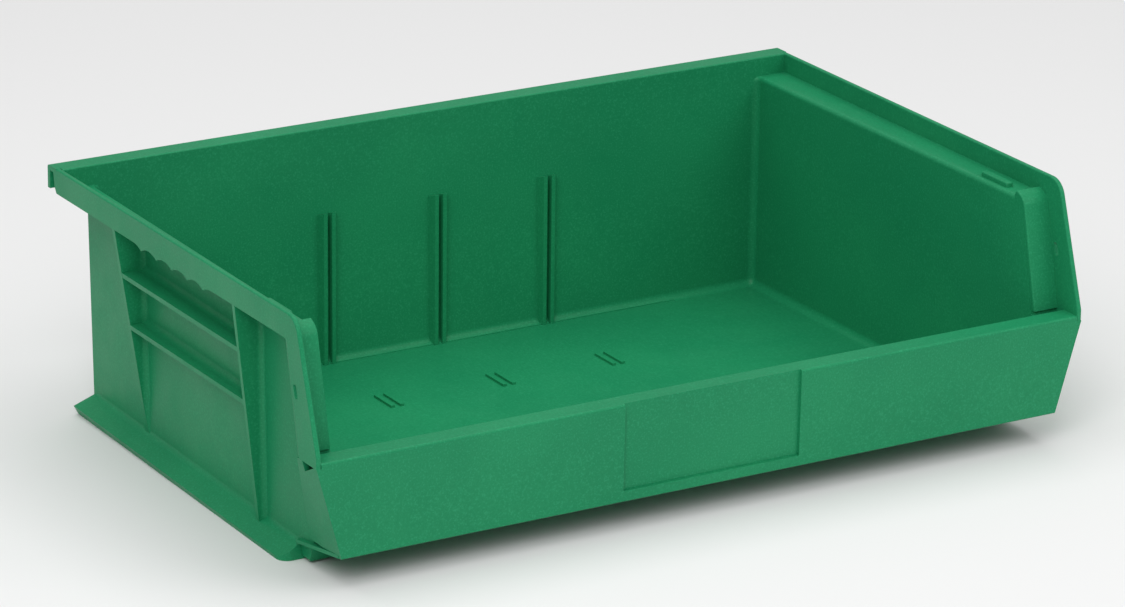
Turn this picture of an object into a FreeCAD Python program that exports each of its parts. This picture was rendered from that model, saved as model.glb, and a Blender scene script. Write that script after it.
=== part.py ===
import FreeCAD, Part
import os
import re
import Sketcher

# Hang-and-stack storage bin, one injection moulding, modelled as its named regions.
# Frame: +X across the bin's width, +Y from the open front to the hanging back, +Z up.
# The origin is on the floor, in the middle of the bin's footprint. Sizes are in millimetres.

SIZES = {
    # overall
    "bin_width": 419.1,
    "bin_length": 276.2,
    "bin_height": 127.0,
    "wall": 2.5,
    # cavity: half width at the top of the back, how much it widens per millimetre towards
    # the front, and the walls' draft in degrees
    "cavity_half": 190.75,
    "flare": 0.0108,
    "draft_angle": 0.65,
    "back_inner": 126.1,
    "floor_top": 3.5,
    "floor_cove": 4.0,
    "corner_cove": 3.5,
    "outer_round": 2.2,
    # front: shelf, inner wall behind it, apron and label recess
    "shelf_top": 63.5,
    "shelf_back": -126.4,
    "front_wall_foot": -99.5,
    "apron_foot": 15.0,
    "apron_foot_half": 196.6,
    "apron_lean": 0.7,
    "edge_round": 0.8,
    "shelf_round": 1.2,
    "label_half": 48.4,
    "label_foot": 20.5,
    "label_depth": 1.5,
    "label_foot_draft": 0.1,
    # side rims: flat ledge, crested step that ends it, upright band
    "ledge_top": 117.0,
    "ledge_round": 2.2,
    "ledge_split": -101.6,
    "crest": -103.3,
    "crest_top": 119.7,
    "brow_rise": 2.4,
    "brow_round": 8.0,
    "step_foot": -121.9,
    "step_head": -109.8,
    "step_run": 2.55,
    "step_bottom": 62.9,
    "step_groove": 1.7,
    "rim_front": -118.3,
    "rim_round": 10.0,
    "wing_corner": 66.5,
    "wing_round": 2.4,
    "stop_inner": 196.0,
    "stop_wide": 4.0,
    "stop_tall": 2.5,
    "stop_front": -90.9,
    "stop_long": 22.2,
    # finger scallops under the rim band
    "scallops": 6,
    "scallop_first": 44.7,
    "scallop_pitch": 16.0,
    "scallop_radius": 15.6,
    "tooth_tall": 2.1,
    # gussets and grip ribs under the ledge
    "gusset_bottom": 6.0,
    "gusset_head": 209.3,
    "gusset_cove": 3.0,
    "rear_gusset": 65.5,
    "rear_gusset_foot": 192.7,
    "front_gusset": -58.5,
    "front_gusset_foot": 197.4,
    "upper_rib": 89.8,
    "upper_rib_reach": 205.4,
    "lower_rib": 62.9,
    "lower_rib_reach": 201.5,
    "rib_cove": 3.0,
    # base skirt: the foot's half width at the back, how much it widens per millimetre, and
    # how high and how far out of the foot the lip's edge stands at each end
    "skirt_half": 200.9,
    "skirt_flare": 0.0165,
    "rear_lip_tall": 4.5,
    "rear_lip_out": 2.4,
    "front_lip_tall": 1.6,
    "front_lip_out": 0.2,
    "skirt_crease": 8.6,
    "skirt_front": -91.7,
    "foot_round": 6.0,
    "skirt_cove": 3.0,
    # hanger lip
    "lip_foot": 115.3,
    "lip_round": 1.5,
    # divider slots and locators
    "slot_pitch": 63.5,
    "slot_gap": 2.3,
    "slot_rib": 2.2,
    "slot_taper": 2.2,
    "slot_deep": 4.5,
    "slot_top": 82.3,
    "slot_rise": 1.2,
    "slot_round": 0.45,
    "locator_gap": 3.2,
    "locator_rib": 2.0,
    "locator_back": 69.5,
    "locator_front": 51.7,
    "locator_tall": 1.2,
    # oval slot and notch in each wing
    "oval_y": -118.3,
    "oval_z": 91.9,
    "oval_wide": 3.0,
    "oval_tall": 6.6,
    "notch_back": -124.2,
    "notch_front": -135.4,
    "notch_tall": 5.4,
    # front cheeks
    "cheek_foot": 8.5,
    "cheek_rise": 6.5,
    "cheek_lip": 197.1,
    "cheek_lip_tall": 1.8,
    "cheek_merge": -106.9,
}

# Points closer than this count as lying on the same line or face.
TOUCH = 0.06

doc = FreeCAD.newDocument("storage_bin")
sheet = doc.addObject("Spreadsheet::Sheet", "Sizes")
for row, (name, number) in enumerate(SIZES.items(), start=1):
    sheet.set(f"A{row}", name)
    sheet.set(f"B{row}", str(number))
    sheet.setAlias(f"B{row}", name)
doc.recompute()

nodes = []

# Places used more than once, written as sheet expressions.
HALF_WIDTH = "bin_width / 2"
HALF_LENGTH = "bin_length / 2"
BACK_OUTER = "(back_inner + wall)"
BAND_INNER = "(bin_width / 2 - wall)"
FLOOR_UNDER = "(floor_top - wall)"
LEDGE_UNDER = "(ledge_top - wall)"
SHELF_UNDER = "(shelf_top - wall)"
LIP_UNDER = "(bin_height - wall)"
STEP_BACK_FOOT = "(step_foot + step_run)"
STEP_BACK_HEAD = "(step_head + step_run)"
BROW_TOP = "(ledge_top - wall + brow_rise)"


def inset(z):
    """How far the draft moves a wall inwards at the height z."""
    return f"(tan(draft_angle) * ({LEDGE_UNDER} - ({z})))"


REAR_FOOT = f"({BACK_OUTER} - {inset('0')})"


def cavity_at(y, z=LEDGE_UNDER):
    """Half width of the cavity at the place y and the height z."""
    return f"(cavity_half + flare * (back_inner - ({y})) - {inset(z)})"


def wall_at(y, z=LEDGE_UNDER):
    """Half width over the side walls at the place y and the height z."""
    return f"({cavity_at(y, z)} + wall)"


def skirt_at(y):
    """Half width over the base skirts' feet at the place y."""
    return f"(skirt_half + skirt_flare * ({BACK_OUTER} - ({y})))"


def step_line(z):
    """The place y of the step's front face at the height z."""
    rise = f"(({z}) - {SHELF_UNDER}) / ({LEDGE_UNDER} - {SHELF_UNDER})"
    return f"(step_foot + (step_head - step_foot) * {rise})"


def wing_line(z):
    """The place y of the wing's front edge at the height z, above its corner."""
    rise = f"(({z}) - wing_corner) / (bin_height - wing_corner)"
    return f"((rim_front + {HALF_LENGTH}) * {rise} - {HALF_LENGTH})"


def bound(text):
    """A sheet expression, with every bare alias pointed at the sheet."""
    return re.sub(r"\b[a-z][a-z_]*\b(?!\()", lambda word: "Sizes." + word.group(0), text)


def value(expression):
    """The number that a sheet expression stands for."""
    return float(sheet.evalExpression(bound(expression)))


def straight(line):
    """A line's place at height 0, and how far it moves per millimetre of height."""
    start = value(line("0"))
    return start, value(line("1")) - start


def new_body(label):
    body = doc.addObject("PartDesign::Body", label)
    body.Label = label
    return body


def keep(item):
    """Mark a document object as one of the bin's nodes."""
    nodes.append(item)
    return item


def sketch_on(body, plane, offset, corners):
    """A closed polygon whose corners are bound to the sheet, on a plane shifted by offset."""
    sketch = body.newObject("Sketcher::SketchObject", f"{body.Label}_profile")
    origin_plane = [f for f in body.Origin.OriginFeatures if f.Role == f"{plane}_Plane"][0]
    sketch.AttachmentSupport = (origin_plane, [""])
    sketch.MapMode = "FlatFace"
    sketch.setExpression("AttachmentOffset.Base.z", bound(offset))
    count = len(corners)
    start = [FreeCAD.Vector(100, 0, 0)]
    turn = FreeCAD.Rotation(FreeCAD.Vector(0, 0, 1), 360.0 / count)
    while len(start) < count:
        start.append(turn.multVec(start[-1]))
    for i in range(count):
        sketch.addGeometry(Part.LineSegment(start[i], start[(i + 1) % count]))
    for i in range(count):
        sketch.addConstraint(Sketcher.Constraint("Coincident", i, 2, (i + 1) % count, 1))
    for i, corner in enumerate(corners):
        for kind, place, guess in zip(("DistanceX", "DistanceY"), corner, start[i]):
            index = sketch.addConstraint(Sketcher.Constraint(kind, -1, 1, i, 1, guess))
            sketch.setExpression(f"Constraints[{index}]", bound(place))
    return sketch


def pad_on(body, plane, offset, length, corners):
    """Pad a polygon onto the body: YZ pads along +X, XZ along -Y, XY along +Z."""
    pad = body.newObject("PartDesign::Pad", f"{body.Label}_pad")
    pad.Profile = sketch_on(body, plane, offset, corners)
    pad.setExpression("Length", bound(length))
    doc.recompute()


def prism(label, plane, offset, length, corners):
    """A new body with one padded polygon."""
    body = new_body(label)
    pad_on(body, plane, offset, length, corners)
    return body


def cut_away(body, plane, offset, length, corners):
    """Pocket a polygon out of the body, along the same direction as prism() pads."""
    before = body.Shape.Volume
    pocket = body.newObject("PartDesign::Pocket", f"{body.Label}_pocket")
    pocket.Profile = sketch_on(body, plane, offset, corners)
    pocket.Reversed = True
    pocket.setExpression("Length", bound(length))
    doc.recompute()
    if body.Shape.Volume > before - 0.1:
        raise RuntimeError(f"{body.Label}: the pocket cuts nothing")


def lofted(label, sections):
    """A ruled loft through polygons with equal corner counts: (plane, offset, corners) each."""
    body = new_body(label)
    loft = body.newObject("PartDesign::AdditiveLoft", f"{label}_loft")
    sketches = [sketch_on(body, *section) for section in sections]
    loft.Profile = sketches[0]
    loft.Sections = sketches[1:]
    loft.Ruled = True
    doc.recompute()
    return body


def near(number, target):
    return abs(number - target) < TOUCH


def round_edges(body, radius, test):
    """Fillet every edge of the body whose points all pass the test."""
    base = body.Tip
    names = []
    for number, edge in enumerate(base.Shape.Edges, start=1):
        points = edge.discretize(3)
        if all(test(point) for point in points):
            names.append(f"Edge{number}")
    if not names:
        raise RuntimeError(f"{body.Label}: no edge to round")
    fillet = body.newObject("PartDesign::Fillet", f"{body.Label}_round")
    fillet.Base = (base, names)
    fillet.setExpression("Radius", bound(radius))
    doc.recompute()


def round_long_edges(body, radius, axis, test):
    """Fillet the edges that run along one axis and whose first point passes the test."""
    base = body.Tip
    names = []
    for number, edge in enumerate(base.Shape.Edges, start=1):
        first, last = (vertex.Point for vertex in edge.Vertexes)
        run = last - first
        if abs(getattr(run, axis)) > 0.99 * run.Length and test(first):
            names.append(f"Edge{number}")
    fillet = body.newObject("PartDesign::Fillet", f"{body.Label}_round")
    fillet.Base = (base, names)
    fillet.setExpression("Radius", bound(radius))
    doc.recompute()


def zone(label, x_range, y_range, z_range):
    """A box that marks a region: each range is a pair of sheet expressions."""
    box = doc.addObject("Part::Box", label)
    for side, place, (low, high) in zip(
        ("Length", "Width", "Height"), "xyz", (x_range, y_range, z_range)
    ):
        box.setExpression(f"Placement.Base.{place}", bound(low))
        box.setExpression(side, bound(f"({high}) - ({low})"))
    return box


def common(label, base, tool):
    result = doc.addObject("Part::Common", label)
    result.Base = base
    result.Tool = tool
    doc.recompute()
    return result


def cut(label, base, tool):
    result = doc.addObject("Part::Cut", label)
    result.Base = base
    result.Tool = tool
    result.Refine = True
    doc.recompute()
    return result


def fuse(label, shapes):
    result = doc.addObject("Part::MultiFuse", label)
    result.Shapes = shapes
    result.Refine = True
    doc.recompute()
    return result


def both_sides(right):
    """Keep a right-hand node and its mirror image on the left."""
    name = right.Label.replace("right_", "")
    left = doc.addObject("Part::Mirroring", f"left_{name}")
    left.Label = f"left_{name}"
    left.Source = right
    left.Normal = FreeCAD.Vector(1, 0, 0)
    doc.recompute()
    keep(right)
    keep(left)


# ---------------------------------------------------------------- tub: floor and walls

def drafted_block(label, foot, back, front, outset):
    """A block under the ledge whose sides taper downwards with the walls' draft."""
    half_back = f"({cavity_at(back)} + {outset})"
    half_front = f"({cavity_at(front)} + {outset})"
    body = prism(label, "XY", foot, f"{LEDGE_UNDER} - ({foot})", [
        (f"-{half_back}", back),
        (f"-{half_front}", front),
        (half_front, front),
        (half_back, back),
    ])
    base = body.Tip
    faces = {f"Face{n}": face.normalAt(0, 0).z for n, face in enumerate(base.Shape.Faces, start=1)}
    draft = body.newObject("PartDesign::Draft", f"{label}_draft")
    draft.Base = (base, [name for name, up in faces.items() if abs(up) < 0.5])
    draft.NeutralPlane = (base, [name for name, up in faces.items() if up > 0.5])
    draft.setExpression("Angle", bound("draft_angle"))
    doc.recompute()
    if draft.Shape.Volume > base.Shape.Volume:
        draft.Reversed = True
        doc.recompute()
    return body


def tub_solid():
    """The outside of floor and walls, as one block with its lower edges rounded."""
    body = drafted_block("tub_block", FLOOR_UNDER, BACK_OUTER, f"(-{HALF_LENGTH})", "wall")
    cut_away(body, "YZ", f"-{HALF_WIDTH}", "bin_width", [
        ("-bin_length", "bin_height"),
        (f"{step_line('bin_height')} + step_run", "bin_height"),
        (STEP_BACK_FOOT, SHELF_UNDER),
        ("shelf_back - wall", SHELF_UNDER),
        ("front_wall_foot - wall", FLOOR_UNDER),
        ("front_wall_foot - wall", "0"),
        ("-bin_length", "0"),
    ])
    under = value(FLOOR_UNDER)
    round_edges(body, "outer_round", lambda p: near(p.z, under))
    return body


def cavity_solid():
    """The space inside the tub, open at the top and above the front shelf."""
    body = drafted_block("cavity_block", "floor_top", "back_inner", "(-bin_length)", "0")
    cut_away(body, "YZ", "-bin_width", "2 * bin_width", [
        ("-2 * bin_length", SHELF_UNDER),
        ("shelf_back", SHELF_UNDER),
        ("front_wall_foot", "floor_top"),
        ("front_wall_foot", "0"),
        ("-2 * bin_length", "0"),
    ])
    rear = value(f"back_inner - {inset('floor_top')}")
    middle = value("bin_width / 4")
    floor = value("floor_top")
    round_edges(body, "corner_cove", lambda p: p.y > rear - TOUCH and abs(p.x) > middle)
    round_edges(body, "floor_cove", lambda p: near(p.z, floor))
    return body


tub_block = tub_solid()
cavity_block = cavity_solid()
tub = cut("tub", tub_block, cavity_block)

BACK_ZONE = "(back_inner - corner_cove)"
FRONT_ZONE = "(front_wall_foot + corner_cove)"
WIDE = (f"-{HALF_WIDTH}", HALF_WIDTH)
LONG = (f"-{HALF_LENGTH}", HALF_LENGTH)
TALL = ("0", "bin_height")
RIGHT = ("0", HALF_WIDTH)
AHEAD = (f"-{HALF_LENGTH}", "ledge_split")
BEHIND = ("ledge_split", HALF_LENGTH)


def tub_nodes():
    keep(common("floor_panel", tub, zone("floor_zone", WIDE, LONG, ("0", "floor_top"))))
    keep(common("inner_front_wall", tub, zone(
        "front_zone", WIDE, (f"-{HALF_LENGTH}", FRONT_ZONE), ("floor_top", SHELF_UNDER)
    )))
    back_low = common("back_low", tub, zone(
        "back_zone", WIDE, (BACK_ZONE, HALF_LENGTH), ("floor_top", "bin_height")
    ))
    rim = zone(
        "back_rim", (f"-{BAND_INNER}", BAND_INNER), ("back_inner", BACK_OUTER),
        (LEDGE_UNDER, LIP_UNDER),
    )
    keep(fuse("back_wall", [back_low, rim]))
    side_zone = zone(
        "side_zone", ("bin_width / 3", HALF_WIDTH), (f"-{HALF_LENGTH}", BACK_ZONE),
        ("floor_top", LEDGE_UNDER),
    )
    under_shelf = zone(
        "under_shelf", RIGHT, (f"-{HALF_LENGTH}", FRONT_ZONE), ("0", SHELF_UNDER)
    )
    side_zone_cut = cut("side_zone_cut", side_zone, under_shelf)
    both_sides(common("right_side_wall", tub, side_zone_cut))


# ---------------------------------------------------------------- ledge, step, band, wing

def inside_cut(body, rear):
    """Cut a side plate off along the cavity's edge, back to the place rear."""
    cut_away(body, "XY", "0", "bin_height", [
        ("0", rear),
        ("0", "-bin_length"),
        (cavity_at("(-bin_length)"), "-bin_length"),
        (cavity_at(rear), rear),
    ])


def on_cavity_edge(p):
    """True for a point on the edge line that all side plates share with the cavity."""
    half = value("cavity_half")
    return near(p.x, half + value("flare") * (value("back_inner") - p.y))


def stacking_ledge(stop_blank):
    """The flat ledge, its inner edge rounded and carried round the rear corner."""
    inside = "(cavity_half - 4 * wall)"
    body = prism("ledge_plate", "YZ", inside, f"{BAND_INNER} - {inside}", [
        (BACK_OUTER, "ledge_top"),
        ("ledge_split", "ledge_top"),
        ("ledge_split", LEDGE_UNDER),
        (BACK_OUTER, LEDGE_UNDER),
    ])
    inside_cut(body, "back_inner")
    top = value("ledge_top")
    back = value("back_inner")
    half = value("cavity_half")
    arc_start = value("back_inner - corner_cove")

    def in_corner(p):
        return near(p.x, half) and near(p.y, back)

    def on_inner_top(p):
        round_corner = p.x < half + TOUCH and arc_start - TOUCH < p.y < back + TOUCH
        return near(p.z, top) and (on_cavity_edge(p) or round_corner)

    round_edges(body, "corner_cove", in_corner)
    round_edges(body, "ledge_round", on_inner_top)
    ledge = common("ledge_part", body, zone(
        "ledge_zone", RIGHT, ("ledge_split", "back_inner"), TALL
    ))
    both_sides(cut("right_stacking_ledge", ledge, stop_blank))


def front_step():
    """The plate that ends the ledge: up to a crest, over a brow and down to the shelf."""
    inside = "(cavity_half - wall)"
    foot = step_line("step_bottom")
    groove_foot = step_line(SHELF_UNDER)
    brow = step_line(BROW_TOP)
    body = prism("step_plate", "YZ", inside, f"{BAND_INNER} - {inside}", [
        ("ledge_split", LEDGE_UNDER),
        ("ledge_split", "ledge_top"),
        ("crest", "crest_top"),
        (brow, BROW_TOP),
        (foot, "step_bottom"),
        (f"{foot} + step_groove", "step_bottom"),
        (f"{groove_foot} + step_groove", SHELF_UNDER),
        (STEP_BACK_FOOT, SHELF_UNDER),
        (STEP_BACK_HEAD, LEDGE_UNDER),
    ])
    brow_y = value(brow)
    brow_z = value(BROW_TOP)
    round_edges(body, "brow_round", lambda p: near(p.z, brow_z) and near(p.y, brow_y))
    inside_cut(body, "back_inner")

    start, lean = straight(step_line)
    middle = value("wall / 2")
    lowest = value("step_bottom")
    highest = value("ledge_top")
    rear = value("crest")

    def on_front_inner(p):
        on_face = p.z > lowest - TOUCH and p.y < start + lean * p.z + middle
        on_slope = p.z > highest and p.y < rear + TOUCH
        return on_cavity_edge(p) and (on_face or on_slope)

    round_edges(body, "edge_round", on_front_inner)
    body.Label = "right_front_step"
    both_sides(body)


def band_plate():
    """The upright side plate: rim band along the top and wing at the front, in one outline."""
    body = prism("band_plate", "YZ", BAND_INNER, "wall", [
        (BACK_OUTER, "bin_height"),
        ("rim_front", "bin_height"),
        (f"-{HALF_LENGTH}", "wing_corner"),
        (f"-{HALF_LENGTH}", SHELF_UNDER),
        (STEP_BACK_FOOT, SHELF_UNDER),
        (STEP_BACK_HEAD, LEDGE_UNDER),
        (BACK_OUTER, LEDGE_UNDER),
        (f"{BACK_OUTER} + 0.7 * wall", "ledge_top"),
        (f"{BACK_OUTER} + 1.3 * wall", LIP_UNDER),
        (BACK_OUTER, LIP_UNDER),
    ])
    top = value("bin_height")
    front = -value(HALF_LENGTH)
    corner = value("wing_corner")
    outer = value(HALF_WIDTH)
    inner = value(BAND_INNER)
    foot = value(SHELF_UNDER)
    round_edges(body, "rim_round", lambda p: near(p.z, top) and near(p.y, value("rim_front")))
    round_edges(body, "wall", lambda p: near(p.z, corner) and near(p.y, front))
    wing_start, wing_lean = straight(wing_line)
    step_start, step_lean = straight(step_line)
    run = value("step_run")
    margin = value("rim_round / 3")

    def on_rim(p):
        front_line = wing_start + wing_lean * max(p.z, corner)
        on_front = p.y < front_line + margin and p.z > foot - TOUCH
        return (near(p.x, outer) or near(p.x, inner)) and (near(p.z, top) or on_front)

    def on_wing_back(p):
        return near(p.x, outer) and near(p.y, step_start + step_lean * p.z + run)

    round_edges(body, "edge_round", on_rim)
    round_edges(body, "wing_round", on_wing_back)
    return body


def finger_teeth():
    """The pointed teeth left between the finger scallops under the rim band."""
    first = "(scallop_first - (scallops - 1) * scallop_pitch)"
    strip = zone("teeth_strip", (BAND_INNER, HALF_WIDTH), (first, "scallop_first"),
                 (f"{LEDGE_UNDER} - tooth_tall", LEDGE_UNDER))
    rounds = []
    for number in range(SIZES["scallops"]):
        scallop = doc.addObject("Part::Cylinder", f"scallop_{number}")
        scallop.setExpression("Radius", bound("scallop_radius"))
        scallop.setExpression("Height", bound("2 * wall"))
        scallop.Placement.Rotation = FreeCAD.Rotation(FreeCAD.Vector(0, 1, 0), 90)
        scallop.setExpression("Placement.Base.x", bound(f"{BAND_INNER} - wall / 2"))
        scallop.setExpression("Placement.Base.y", bound(f"scallop_first - {number} * scallop_pitch"))
        scallop.setExpression("Placement.Base.z", bound(f"{LEDGE_UNDER} - scallop_radius"))
        rounds.append(scallop)
    return cut("finger_teeth", strip, fuse("scallops", rounds))


def oval_slot():
    """The oval hole through the wing, leaning with the wing's front edge."""
    lean = f"({wing_line('1')} - {wing_line('0')})"
    reach = f"({lean} * oval_tall / 2)"
    body = prism("oval_slot", "YZ", f"{BAND_INNER} - wall", "3 * wall", [
        (f"oval_y - {reach} - oval_wide / 2", "oval_z - oval_tall / 2"),
        (f"oval_y - {reach} + oval_wide / 2", "oval_z - oval_tall / 2"),
        (f"oval_y + {reach} + oval_wide / 2", "oval_z + oval_tall / 2"),
        (f"oval_y + {reach} - oval_wide / 2", "oval_z + oval_tall / 2"),
    ])
    round_long_edges(body, "0.45 * oval_wide", "x", lambda p: True)
    return body


def rim_nodes():
    plate = band_plate()
    band = common("band_part", plate, zone("band_zone", RIGHT, BEHIND, TALL))
    both_sides(fuse("right_rim_band", [band, finger_teeth()]))
    wing = common("wing_part", plate, zone("wing_zone", RIGHT, AHEAD, TALL))
    both_sides(cut("right_front_wing", wing, oval_slot()))


def stack_stop():
    """The short rib on the ledge that keeps a stacked bin from sliding forwards.

    It reaches down through the ledge, so that the ledge's flat top is free around it.
    """
    body = prism("right_stack_stop", "XY", LEDGE_UNDER, "wall + stop_tall", [
        ("stop_inner", "stop_front"),
        ("stop_inner + stop_wide", "stop_front"),
        ("stop_inner + stop_wide", "stop_front + stop_long"),
        ("stop_inner", "stop_front + stop_long"),
    ])
    head = value("ledge_top + stop_tall")
    round_long_edges(body, "stop_wide / 3", "z", lambda p: True)
    round_edges(body, "edge_round", lambda p: near(p.z, head))
    both_sides(body)
    return body


# ---------------------------------------------------------------- outside of the side walls

def gusset(label, front, foot_reach, neighbours):
    """A triangular gusset with a coved root, standing on the outside of the side wall."""
    inside = "(cavity_half - 2 * wall)"
    rear = f"({front} + wall)"
    blank_rear = f"({rear} + 3 * wall)"
    beyond = f"({HALF_WIDTH} + wall)"
    body = prism(f"{label}_blank", "XZ", f"-{blank_rear}", "7 * wall", [
        (inside, "gusset_bottom"),
        (wall_at(blank_rear, "gusset_bottom"), "gusset_bottom"),
        (wall_at(blank_rear), LEDGE_UNDER),
        (inside, LEDGE_UNDER),
    ])
    pad_on(body, "XZ", f"-{rear}", "wall", [
        (inside, "gusset_bottom"),
        (beyond, "gusset_bottom"),
        (beyond, LEDGE_UNDER),
        (inside, LEDGE_UNDER),
    ])
    faces = (value(front), value(rear))
    nearest = value("cavity_half")
    farthest = value(BAND_INNER)

    def at_root(p):
        return nearest < p.x < farthest and any(near(p.y, face) for face in faces)

    round_edges(body, "gusset_cove", at_root)
    cut_away(body, "XZ", f"-({rear} + 4 * wall)", "10 * wall", [
        (foot_reach, "gusset_bottom"),
        ("gusset_head", LEDGE_UNDER),
        (f"{beyond} + wall", LEDGE_UNDER),
        (f"{beyond} + wall", "gusset_bottom"),
    ])
    return cut(label, body, fuse(f"{label}_neighbours", neighbours))


def grip_rib(label, foot, reach, gussets):
    """A level rib between the two gussets, coved where its top meets the side wall."""
    inside = "(cavity_half - 2 * wall)"
    top = f"({foot} + wall)"
    root = f"({top} + 2 * rib_cove)"
    sections = []
    for place in ("rear_gusset", "(front_gusset + wall)"):
        sections.append(("XZ", f"-{place}", [
            (inside, foot),
            (reach, foot),
            (f"{reach} + 0.15 * wall", top),
            (wall_at(place, top), top),
            (wall_at(place, root), root),
            (inside, root),
        ]))
    body = lofted(f"{label}_blank", sections)
    crease = value(top)
    nearest = value(f"{inside} + wall")
    farthest = value(f"{reach} - wall")
    round_edges(body, "rib_cove", lambda p: near(p.z, crease) and nearest < p.x < farthest)
    return cut(label, body, fuse(f"{label}_neighbours", [tub_block] + gussets))


def corner_trim(name, low, high):
    """What leaves a front corner of the base round in plan, between two places across it."""
    front = "(skirt_front - wall)"
    centre_y = f"({front} + foot_round)"
    heights = ("-wall", "skirt_crease + 3 * skirt_cove")
    corner = zone(f"{name}_corner", (low, high), (f"{front} - wall", centre_y), heights)
    post = doc.addObject("Part::Cylinder", f"{name}_post")
    post.setExpression("Radius", bound("foot_round"))
    post.setExpression("Height", bound(f"{heights[1]} + wall"))
    centre_x = low if name == "right" else high
    post.setExpression("Placement.Base.x", bound(centre_x))
    post.setExpression("Placement.Base.y", bound(centre_y))
    post.setExpression("Placement.Base.z", bound(heights[0]))
    return cut(f"{name}_corner_trim", corner, post)


def corner_trims():
    """The trims of the left and right front corner."""
    centre = f"({skirt_at('skirt_front')} - foot_round)"
    return [
        corner_trim("left", f"-{HALF_WIDTH}", f"-{centre}"),
        corner_trim("right", centre, HALF_WIDTH),
    ]


def skirt(neighbours):
    """The flared skirt around the foot of the side wall."""
    inside = "(cavity_half - 2 * wall)"
    root = "(skirt_crease + 2 * skirt_cove)"
    under = "(skirt_crease - 1.15 * wall)"
    sections = []
    for place, end in ((f"({REAR_FOOT} - wall)", "rear"), ("skirt_front", "front")):
        foot = skirt_at(place)
        sections.append(("XZ", f"-{place}", [
            (inside, root),
            (wall_at(place, root), root),
            (wall_at(place, "skirt_crease"), "skirt_crease"),
            (f"{foot} + {end}_lip_out", f"{end}_lip_tall"),
            (foot, "0"),
            (foot, "-wall"),
            (f"{foot} - wall", "-wall"),
            (f"{foot} - wall", f"{end}_lip_tall / 2"),
            (wall_at(place, under), under),
            (inside, under),
        ]))
    body = lofted("skirt_blank", sections)
    crease = value("skirt_crease")
    nearest = value(f"{inside} + wall")
    round_edges(body, "skirt_cove", lambda p: near(p.z, crease) and p.x > nearest)
    standing = common("skirt_standing", body, zone("skirt_zone", RIGHT, LONG, ("0", root)))
    base_skirt = cut("right_base_skirt", standing, neighbours)
    both_sides(base_skirt)
    return base_skirt


def base_foot(label, back, end, neighbours):
    """A cross wall under the floor that closes the ends of both skirts."""
    half = wall_at(back, "skirt_crease")
    foot = skirt_at(back)
    lip = f"({foot} + {end}_lip_out)"
    body = prism(f"{label}_blank", "XZ", f"-({back})", "wall", [
        (f"-{foot}", "0"),
        (foot, "0"),
        (lip, f"{end}_lip_tall"),
        (half, "skirt_crease"),
        (f"-{half}", "skirt_crease"),
        (f"-{lip}", f"{end}_lip_tall"),
    ])
    keep(cut(label, body, neighbours))


def cheek():
    """The side of the apron's hollow: it slants in from the wing's foot to the side wall."""
    inside = "(cavity_half - 2 * wall)"
    apron_back = f"(wall - {HALF_LENGTH})"
    foot_back = f"({apron_back} + apron_lean)"
    outer = lofted("cheek_outer", [
        ("XY", SHELF_UNDER, [
            (inside, apron_back),
            (HALF_WIDTH, apron_back),
            (HALF_WIDTH, STEP_BACK_FOOT),
            (inside, STEP_BACK_FOOT),
        ]),
        ("XY", "apron_foot", [
            (inside, foot_back),
            ("apron_foot_half", foot_back),
            ("apron_foot_half", "cheek_merge"),
            (inside, "cheek_merge"),
        ]),
    ])
    hollow = lofted("cheek_hollow", [
        ("XY", SHELF_UNDER, [
            ("0", apron_back),
            (BAND_INNER, apron_back),
            (BAND_INNER, "step_foot"),
            ("0", "step_foot"),
        ]),
        ("XY", "apron_foot", [
            ("0", foot_back),
            ("apron_foot_half - wall", foot_back),
            ("apron_foot_half - wall", "cheek_merge - wall"),
            ("0", "cheek_merge - wall"),
        ]),
    ])
    lip = prism("cheek_lip_blank", "YZ", "apron_foot_half - wall", "cheek_lip - apron_foot_half + wall", [
        ("skirt_front - wall", "cheek_foot"),
        (foot_back, "cheek_foot + cheek_rise"),
        (foot_back, "cheek_foot + cheek_rise + cheek_lip_tall"),
        ("skirt_front - wall", "cheek_foot + cheek_lip_tall"),
    ])
    notch = prism("notch", "YZ", f"{BAND_INNER} - 2 * wall", "4 * wall", [
        ("notch_back", SHELF_UNDER),
        ("notch_front", SHELF_UNDER),
        ("notch_back", f"{SHELF_UNDER} - notch_tall"),
    ])
    shell = cut("cheek_shell", outer, hollow)
    with_lip = fuse("cheek_with_lip", [shell, lip])
    both_sides(cut("right_front_cheek", with_lip, fuse("cheek_cuts", [tub_block, notch])))


# ---------------------------------------------------------------- front and back

def label_recess():
    """The shallow recess for a label, open at its top, with draft on its foot."""
    lean = f"apron_lean * ({SHELF_UNDER} - label_foot) / ({SHELF_UNDER} - apron_foot)"
    return prism("label_recess", "YZ", "-label_half", "2 * label_half", [
        (f"-{HALF_LENGTH} - wall", "shelf_top + wall"),
        (f"label_depth - {HALF_LENGTH}", "shelf_top + wall"),
        (f"label_depth - {HALF_LENGTH}", SHELF_UNDER),
        (f"label_depth - {HALF_LENGTH} + {lean}", "label_foot"),
        (f"-{HALF_LENGTH} - wall", "label_foot - label_foot_draft * wall"),
    ])


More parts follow.
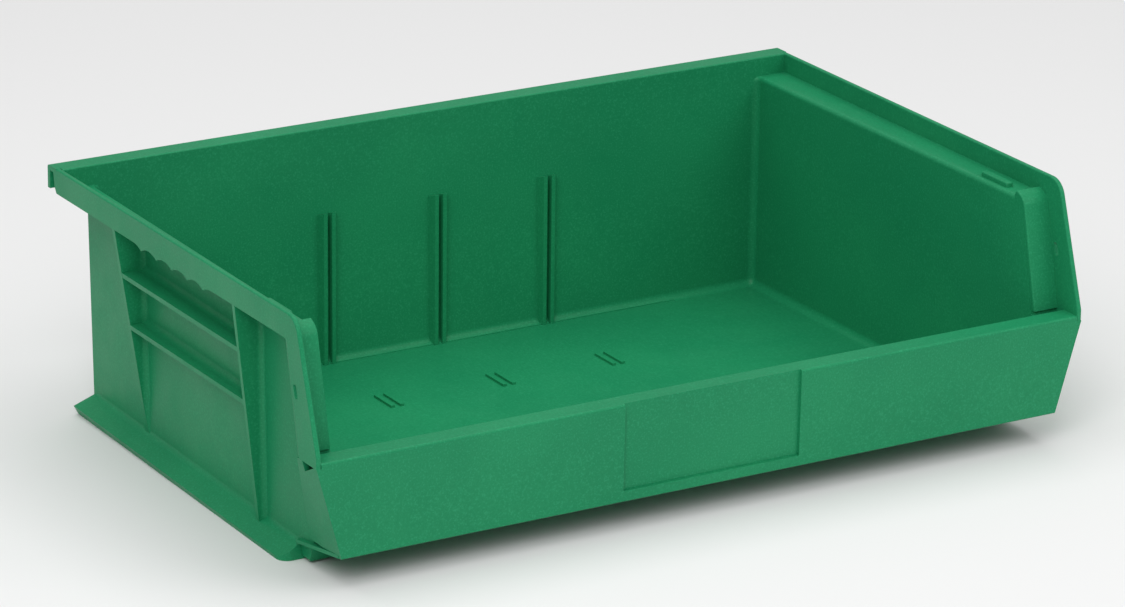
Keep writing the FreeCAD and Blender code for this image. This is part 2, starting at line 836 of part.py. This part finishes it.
def front_nodes():
    recess = label_recess()
    top = value("shelf_top")
    front = -value(HALF_LENGTH)
    shelf = prism("shelf_plate", "YZ", f"-{BAND_INNER}", f"2 * {BAND_INNER}", [
        (f"-{HALF_LENGTH}", "shelf_top"),
        (f"-{HALF_LENGTH}", SHELF_UNDER),
        ("shelf_back", SHELF_UNDER),
        ("shelf_back", "shelf_top"),
    ])
    round_edges(shelf, "shelf_round", lambda p: near(p.z, top) and near(p.y, front))
    round_edges(shelf, "edge_round", lambda p: near(p.z, top) and near(p.y, value("shelf_back")))
    keep(cut("front_shelf", shelf, recess))

    apron = prism("apron_plate", "YZ", f"-{HALF_WIDTH}", "bin_width", [
        (f"-{HALF_LENGTH}", SHELF_UNDER),
        (f"-{HALF_LENGTH} + apron_lean", "apron_foot"),
        (f"-{HALF_LENGTH} + apron_lean + wall", "apron_foot"),
        (f"-{HALF_LENGTH} + wall", SHELF_UNDER),
    ])
    for sign in ("", "-"):
        cut_away(apron, "XZ", f"{HALF_LENGTH} - 3 * wall", "6 * wall", [
            (f"{sign}{HALF_WIDTH}", SHELF_UNDER),
            (f"{sign}apron_foot_half", "apron_foot"),
            (f"{sign}({HALF_WIDTH} + wall)", "apron_foot"),
        ])
    foot = value("apron_foot")
    face = front + value("apron_lean")
    round_edges(apron, "edge_round", lambda p: near(p.z, foot) and near(p.y, face))
    keep(cut("front_apron", apron, recess))


def hanger_lip():
    """The hook along the top of the back wall, with the wall's own top edge."""
    hook = prism("hook_plate", "YZ", f"-{HALF_WIDTH}", "bin_width", [
        (BACK_OUTER, "bin_height"),
        (HALF_LENGTH, "bin_height"),
        (HALF_LENGTH, "lip_foot"),
        (f"{HALF_LENGTH} - wall", "lip_foot"),
        (f"{HALF_LENGTH} - wall", LIP_UNDER),
        (BACK_OUTER, LIP_UNDER),
    ])
    top = value("bin_height")
    back = value(HALF_LENGTH)
    round_edges(hook, "lip_round", lambda p: near(p.z, top) and near(p.y, back))
    edge = prism("wall_edge", "YZ", f"-{BAND_INNER}", f"2 * {BAND_INNER}", [
        (BACK_OUTER, LIP_UNDER),
        (BACK_OUTER, "bin_height"),
        ("back_inner", "bin_height"),
        ("back_inner", LIP_UNDER),
    ])
    inner = value("back_inner")
    round_edges(edge, "edge_round", lambda p: near(p.z, top) and near(p.y, inner))
    keep(fuse("hanger_lip", [hook, edge]))


# ---------------------------------------------------------------- dividers' slots and locators

def slot_rib(label, side, centre):
    """One tapered rib of a divider slot: side is -1 or 1, the rib's place beside the slot."""
    tip = "(back_inner - slot_deep)"
    inner = f"{centre} + {side} * slot_gap / 2"
    body = prism(label, "XY", FLOOR_UNDER, "slot_top + slot_rise", [
        (inner, BACK_OUTER),
        (inner, tip),
        (f"{inner} + {side} * slot_rib", tip),
        (f"{inner} + {side} * (slot_rib + slot_taper)", "back_inner"),
        (f"{inner} + {side} * (slot_rib + slot_taper)", BACK_OUTER),
    ])
    cut_away(body, "YZ", "-bin_width", "2 * bin_width", [
        (BACK_OUTER, "slot_top"),
        ("back_inner", "slot_top"),
        (tip, "slot_top + slot_rise"),
        (f"{tip} - wall", "slot_top + slot_rise"),
        (f"{tip} - wall", "bin_height"),
        (BACK_OUTER, "bin_height"),
    ])
    tip_y = value(tip)
    round_long_edges(body, "slot_round", "z", lambda p: near(p.y, tip_y))
    return body


def divider_places():
    """Pairs of ribs hold a divider's edge: three on the back wall and three on the floor."""
    for step, name in ((-1, "left"), (0, "middle"), (1, "right")):
        centre = f"{step} * slot_pitch"
        slot_ribs = []
        locator_ribs = []
        for side, letter in ((-1, "a"), (1, "b")):
            slot_ribs.append(slot_rib(f"{name}_slot_rib_{letter}", side, centre))
            middle = f"{centre} + {side} * (locator_gap + locator_rib) / 2"
            locator_ribs.append(zone(f"{name}_locator_rib_{letter}",
                                     (f"{middle} - locator_rib / 2", f"{middle} + locator_rib / 2"),
                                     ("locator_front", "locator_back"),
                                     ("floor_top", "floor_top + locator_tall")))
        pair = fuse(f"{name}_slot_pair", slot_ribs)
        keep(common(f"{name}_divider_slot", pair, cavity_block))
        keep(fuse(f"{name}_floor_locator", locator_ribs))


def check_and_write():
    """Check every document object, then write each node's shape to its own file."""
    doc.recompute()
    for item in doc.Objects:
        if {"Invalid", "Error"} & set(item.State):
            raise RuntimeError(f"{item.Label} failed: {item.State}")
    os.makedirs("parts", exist_ok=True)
    for node in nodes:
        shape = node.Shape
        if shape.isNull() or not shape.isValid() or not shape.Solids:
            raise RuntimeError(f"{node.Label} has no valid solid")
        shape.exportStep(f"parts/{node.Label}.step")


tub_nodes()
stacking_ledge(stack_stop())
front_step()
rim_nodes()
around_skirt = fuse("around_skirt", [tub_block] + corner_trims())
base_skirt = skirt(around_skirt)
wall_and_skirt = [tub_block, base_skirt]
rear_gusset = gusset("right_rear_gusset", "rear_gusset", "rear_gusset_foot", wall_and_skirt)
front_gusset = gusset("right_front_gusset", "front_gusset", "front_gusset_foot", wall_and_skirt)
both_sides(rear_gusset)
both_sides(front_gusset)
for rib in ("upper_rib", "lower_rib"):
    rib_label = f"right_{rib.replace('_', '_grip_')}"
    both_sides(grip_rib(rib_label, rib, f"{rib}_reach", [rear_gusset, front_gusset]))
base_foot("base_rear_foot", REAR_FOOT, "rear", tub_block)
base_foot("base_front_foot", "skirt_front", "front", around_skirt)
cheek()
front_nodes()
hanger_lip()
divider_places()
check_and_write()
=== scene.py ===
import math

import bpy
from mathutils import Matrix, Vector


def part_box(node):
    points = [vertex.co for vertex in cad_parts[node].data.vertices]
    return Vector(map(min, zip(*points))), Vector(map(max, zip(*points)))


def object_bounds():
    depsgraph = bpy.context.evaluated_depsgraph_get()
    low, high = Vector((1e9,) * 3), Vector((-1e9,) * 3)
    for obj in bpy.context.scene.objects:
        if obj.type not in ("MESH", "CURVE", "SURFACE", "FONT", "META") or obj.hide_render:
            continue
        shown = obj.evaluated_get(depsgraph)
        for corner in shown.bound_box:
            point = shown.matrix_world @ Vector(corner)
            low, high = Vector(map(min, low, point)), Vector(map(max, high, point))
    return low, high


# A green hang-and-stack storage bin in satin polypropylene, on a pale studio floor.
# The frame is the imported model's own: metres, +X across the bin, +Y to its back, +Z up.

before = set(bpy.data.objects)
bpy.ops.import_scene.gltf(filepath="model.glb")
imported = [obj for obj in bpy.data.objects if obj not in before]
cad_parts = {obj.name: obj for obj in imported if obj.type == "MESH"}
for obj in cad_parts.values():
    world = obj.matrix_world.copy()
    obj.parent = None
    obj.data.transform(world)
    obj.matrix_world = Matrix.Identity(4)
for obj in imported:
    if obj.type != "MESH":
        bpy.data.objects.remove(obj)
cad_low, cad_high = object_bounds()

# Wear, by height in metres: the rim's top, the foot below a height, and the ledges' flat tops.
RIM_WEAR_FROM = cad_high.z - 0.0012
RIM_WEAR_FULL = cad_high.z - 0.0002
FOOT_WEAR_TO = 0.0022
LEDGE_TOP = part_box("right_stacking_ledge")[1].z
LEDGE_MARGIN = 0.0004

# Viewpoint: above the bin's left front corner, far off with a long lens.
SENSOR_MM = 36.0
LENS_MM = 169.98
VIEW_AZIMUTH = -30.767
VIEW_ELEVATION = 19.206
VIEW_ROLL = 0.6755
VIEW_DISTANCE = 2.5764
VIEW_TARGET = Vector((-0.00325, -0.00430, 0.06437))

# Studio: name, place, width and height in metres, power in watts. All aim at the bin.
BIN_MIDDLE = Vector((0.0, 0.0, 0.05))
SURROUNDINGS = 0.36
LIGHTS = (
    ("light_top", (0.0, 0.2, 2.4), 2.8, 2.8, 38.0),
    ("light_front_right", (1.2, -1.7, 1.6), 1.6, 1.4, 12.0),
    ("light_front_left", (-1.4, -1.5, 1.7), 1.5, 1.3, 24.0),
)
FLOOR_REACH = 8.0
FLOOR_GREY = 0.82

# Plastic: linear base colour and how it varies.
GREEN = (0.0120, 0.245, 0.101)
GREEN_DEEP = (0.0095, 0.218, 0.090)
GREEN_PALE = (0.0165, 0.275, 0.112)
GREEN_SPECK = (0.0300, 0.340, 0.160)
SCUFF_PALE = (0.075, 0.300, 0.170)
PLASTIC_IOR = 1.49
PLASTIC_SPECULAR = 0.18

# How many features each pattern has to the metre.
CLOUD_SCALE = 14.0
MOTTLE_SCALE = 120.0
SPECKLE_SCALE = 1050.0
SHEEN_SCALE = 60.0
WAVE_SCALE = 30.0
GRAIN_SCALE = 1300.0
SCRATCH_STRETCH = (1500.0, 45.0, 900.0)

# Surface: roughness and how much wear adds, then each bump's height in metres.
SHEEN_LOW = 0.36
SHEEN_HIGH = 0.46
WORN_ROUGHNESS = 0.12
WORN_COLOR = 0.30
WAVE_HEIGHT = 0.0006
GRAIN_HEIGHT = 0.00010
SCORE_HEIGHT = 0.00004


def camera():
    """The camera, placed by its angles about the target."""
    data = bpy.data.cameras.new("camera")
    data.sensor_width = SENSOR_MM
    data.lens = LENS_MM
    azimuth = math.radians(VIEW_AZIMUTH)
    elevation = math.radians(VIEW_ELEVATION)
    back = Vector((
        math.sin(azimuth) * math.cos(elevation),
        -math.cos(azimuth) * math.cos(elevation),
        math.sin(elevation),
    ))
    right = Vector((math.cos(azimuth), math.sin(azimuth), 0.0))
    up = back.cross(right)
    roll = math.radians(VIEW_ROLL)
    turned_right = math.cos(roll) * right + math.sin(roll) * up
    turned_up = math.cos(roll) * up - math.sin(roll) * right
    turn = Matrix((turned_right, turned_up, back)).transposed()
    obj = bpy.data.objects.new("camera", data)
    obj.matrix_world = Matrix.Translation(VIEW_TARGET + back * VIEW_DISTANCE) @ turn.to_4x4()
    bpy.context.scene.collection.objects.link(obj)
    bpy.context.scene.camera = obj


def soft_light(name, place, width, height, power):
    """A rectangular soft light that faces the bin."""
    data = bpy.data.lights.new(name, "AREA")
    data.shape = "RECTANGLE"
    data.size = width
    data.size_y = height
    data.energy = power
    obj = bpy.data.objects.new(name, data)
    obj.location = place
    obj.rotation_mode = "QUATERNION"
    obj.rotation_quaternion = (BIN_MIDDLE - Vector(place)).to_track_quat("-Z", "Y")
    bpy.context.scene.collection.objects.link(obj)


def studio_floor():
    """A large matt floor."""
    mesh = bpy.data.meshes.new("floor")
    mesh.from_pydata(
        [(x * FLOOR_REACH, y * FLOOR_REACH, 0.0) for x, y in ((-1, -1), (1, -1), (1, 1), (-1, 1))],
        [], [(0, 1, 2, 3)],
    )
    floor = bpy.data.objects.new("floor", mesh)
    bpy.context.scene.collection.objects.link(floor)
    paint = bpy.data.materials.new("floor_paint")
    paint.use_nodes = True
    shader = paint.node_tree.nodes["Principled BSDF"]
    shader.inputs["Base Color"].default_value = (FLOOR_GREY, FLOOR_GREY, FLOOR_GREY, 1.0)
    shader.inputs["Roughness"].default_value = 0.9
    shader.inputs["Specular IOR Level"].default_value = 0.0
    mesh.materials.append(paint)


def studio():
    """Pale floor, dim white surroundings and soft lights."""
    scene = bpy.context.scene
    scene.view_settings.view_transform = "Standard"
    world = bpy.data.worlds.new("surroundings")
    world.use_nodes = True
    background = world.node_tree.nodes["Background"]
    background.inputs["Color"].default_value = (1.0, 1.0, 1.0, 1.0)
    background.inputs["Strength"].default_value = SURROUNDINGS
    scene.world = world
    studio_floor()
    for light in LIGHTS:
        soft_light(*light)


class Shading:
    """Small helpers that build one material's node tree."""

    def __init__(self, name):
        self.material = bpy.data.materials.new(name)
        self.material.use_nodes = True
        self.tree = self.material.node_tree
        self.shader = self.tree.nodes["Principled BSDF"]
        self.place = self.tree.nodes.new("ShaderNodeTexCoord").outputs["Object"]

    def link(self, source, target):
        self.tree.links.new(source, target)

    def scaled(self, factors):
        """The place on the object, stretched by a factor along each axis."""
        node = self.tree.nodes.new("ShaderNodeVectorMath")
        node.operation = "MULTIPLY"
        self.link(self.place, node.inputs[0])
        node.inputs[1].default_value = factors
        return node.outputs["Vector"]

    def noise(self, scale, detail, roughness=0.5, where=None):
        """Noise between 0 and 1, with about `scale` features to the metre."""
        node = self.tree.nodes.new("ShaderNodeTexNoise")
        node.inputs["Scale"].default_value = scale
        node.inputs["Detail"].default_value = detail
        node.inputs["Roughness"].default_value = roughness
        self.link(where or self.place, node.inputs["Vector"])
        return node.outputs["Fac"]

    def spread(self, value, low, high, to_low=0.0, to_high=1.0):
        """Map low..high smoothly to to_low..to_high."""
        node = self.tree.nodes.new("ShaderNodeMapRange")
        node.interpolation_type = "SMOOTHSTEP"
        self.link(value, node.inputs["Value"])
        node.inputs["From Min"].default_value = low
        node.inputs["From Max"].default_value = high
        node.inputs["To Min"].default_value = to_low
        node.inputs["To Max"].default_value = to_high
        return node.outputs["Result"]

    def calc(self, operation, first, second):
        """One arithmetic step on two values, each a socket or a number."""
        node = self.tree.nodes.new("ShaderNodeMath")
        node.operation = operation
        for socket, value in zip(node.inputs, (first, second)):
            if isinstance(value, (int, float)):
                socket.default_value = value
            else:
                self.link(value, socket)
        return node.outputs["Value"]

    def mix(self, factor, first, second):
        """Blend two colours, each a socket or three numbers."""
        node = self.tree.nodes.new("ShaderNodeMix")
        node.data_type = "RGBA"
        self.link(factor, node.inputs["Factor"])
        for socket, value in ((node.inputs[6], first), (node.inputs[7], second)):
            if isinstance(value, tuple):
                socket.default_value = (*value, 1.0)
            else:
                self.link(value, socket)
        return node.outputs[2]

    def bump(self, height, distance, strength, under=None):
        """Raise the surface by height times distance, over an earlier bump."""
        node = self.tree.nodes.new("ShaderNodeBump")
        node.inputs["Distance"].default_value = distance
        node.inputs["Strength"].default_value = strength
        self.link(height, node.inputs["Height"])
        if under is not None:
            self.link(under, node.inputs["Normal"])
        return node.outputs["Normal"]

    def axes(self):
        """The place on the object as three numbers."""
        node = self.tree.nodes.new("ShaderNodeSeparateXYZ")
        self.link(self.place, node.inputs["Vector"])
        return node.outputs["X"], node.outputs["Y"], node.outputs["Z"]


def facing_up(look):
    """1 on faces that look up, 0 on upright ones."""
    geometry = look.tree.nodes.new("ShaderNodeNewGeometry")
    split = look.tree.nodes.new("ShaderNodeSeparateXYZ")
    look.link(geometry.outputs["True Normal"], split.inputs["Vector"])
    return look.spread(split.outputs["Z"], 0.7, 0.95)


def wear_mask(look):
    """Where the bin is handled or rests: rims, the ledges' flat tops and the skirt's foot."""
    height = look.axes()[2]
    up = facing_up(look)
    rim = look.spread(height, RIM_WEAR_FROM, RIM_WEAR_FULL)
    foot = look.spread(height, FOOT_WEAR_TO, 0.0)
    ledge_level = look.calc("COMPARE", height, LEDGE_TOP)
    ledge_level.node.inputs[2].default_value = LEDGE_MARGIN
    return rim, foot, look.calc("MULTIPLY", up, ledge_level)


def plastic():
    """Satin green polypropylene: flow mottling, speckle, moulded grain and handling wear."""
    look = Shading("green_polypropylene")
    shader = look.shader

    clouds = look.noise(CLOUD_SCALE, 3.0)
    mottle = look.noise(MOTTLE_SCALE, 2.0)
    speckle = look.noise(SPECKLE_SCALE, 2.0)
    color = look.mix(look.spread(clouds, 0.3, 0.7), GREEN_DEEP, GREEN_PALE)
    color = look.mix(look.spread(mottle, 0.2, 0.8, 0.35, 0.65), color, GREEN)
    color = look.mix(look.spread(speckle, 0.50, 0.72, 0.0, 0.45), color, GREEN_SPECK)
    color = look.mix(look.spread(speckle, 0.50, 0.30, 0.0, 0.50), color, GREEN_DEEP)

    scratches = look.noise(1.0, 4.0, 0.65, look.scaled(SCRATCH_STRETCH))
    rubbed = look.spread(scratches, 0.56, 0.72)
    rim, foot, ledge = wear_mask(look)
    rim_or_foot = look.calc("MAXIMUM", rim, foot)
    worn = look.calc("MULTIPLY", look.calc("MAXIMUM", rim_or_foot, ledge), rubbed)
    color = look.mix(look.calc("MULTIPLY", worn, WORN_COLOR), color, SCUFF_PALE)
    look.link(color, shader.inputs["Base Color"])

    sheen_variation = look.spread(look.noise(SHEEN_SCALE, 3.0), 0.25, 0.75, SHEEN_LOW, SHEEN_HIGH)
    roughness = look.calc("ADD", sheen_variation, look.calc("MULTIPLY", worn, WORN_ROUGHNESS))
    look.link(roughness, shader.inputs["Roughness"])
    shader.inputs["IOR"].default_value = PLASTIC_IOR
    shader.inputs["Specular IOR Level"].default_value = PLASTIC_SPECULAR

    waviness = look.bump(look.noise(WAVE_SCALE, 2.0), WAVE_HEIGHT, 0.25)
    grain = look.bump(look.noise(GRAIN_SCALE, 2.0), GRAIN_HEIGHT, 0.45, waviness)
    scored = look.bump(look.calc("MULTIPLY", worn, -1.0), SCORE_HEIGHT, 0.5, grain)
    look.link(scored, shader.inputs["Normal"])
    return look.material


camera()
studio()
green = plastic()
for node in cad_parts.values():
    for slot in node.material_slots:
        slot.material = green
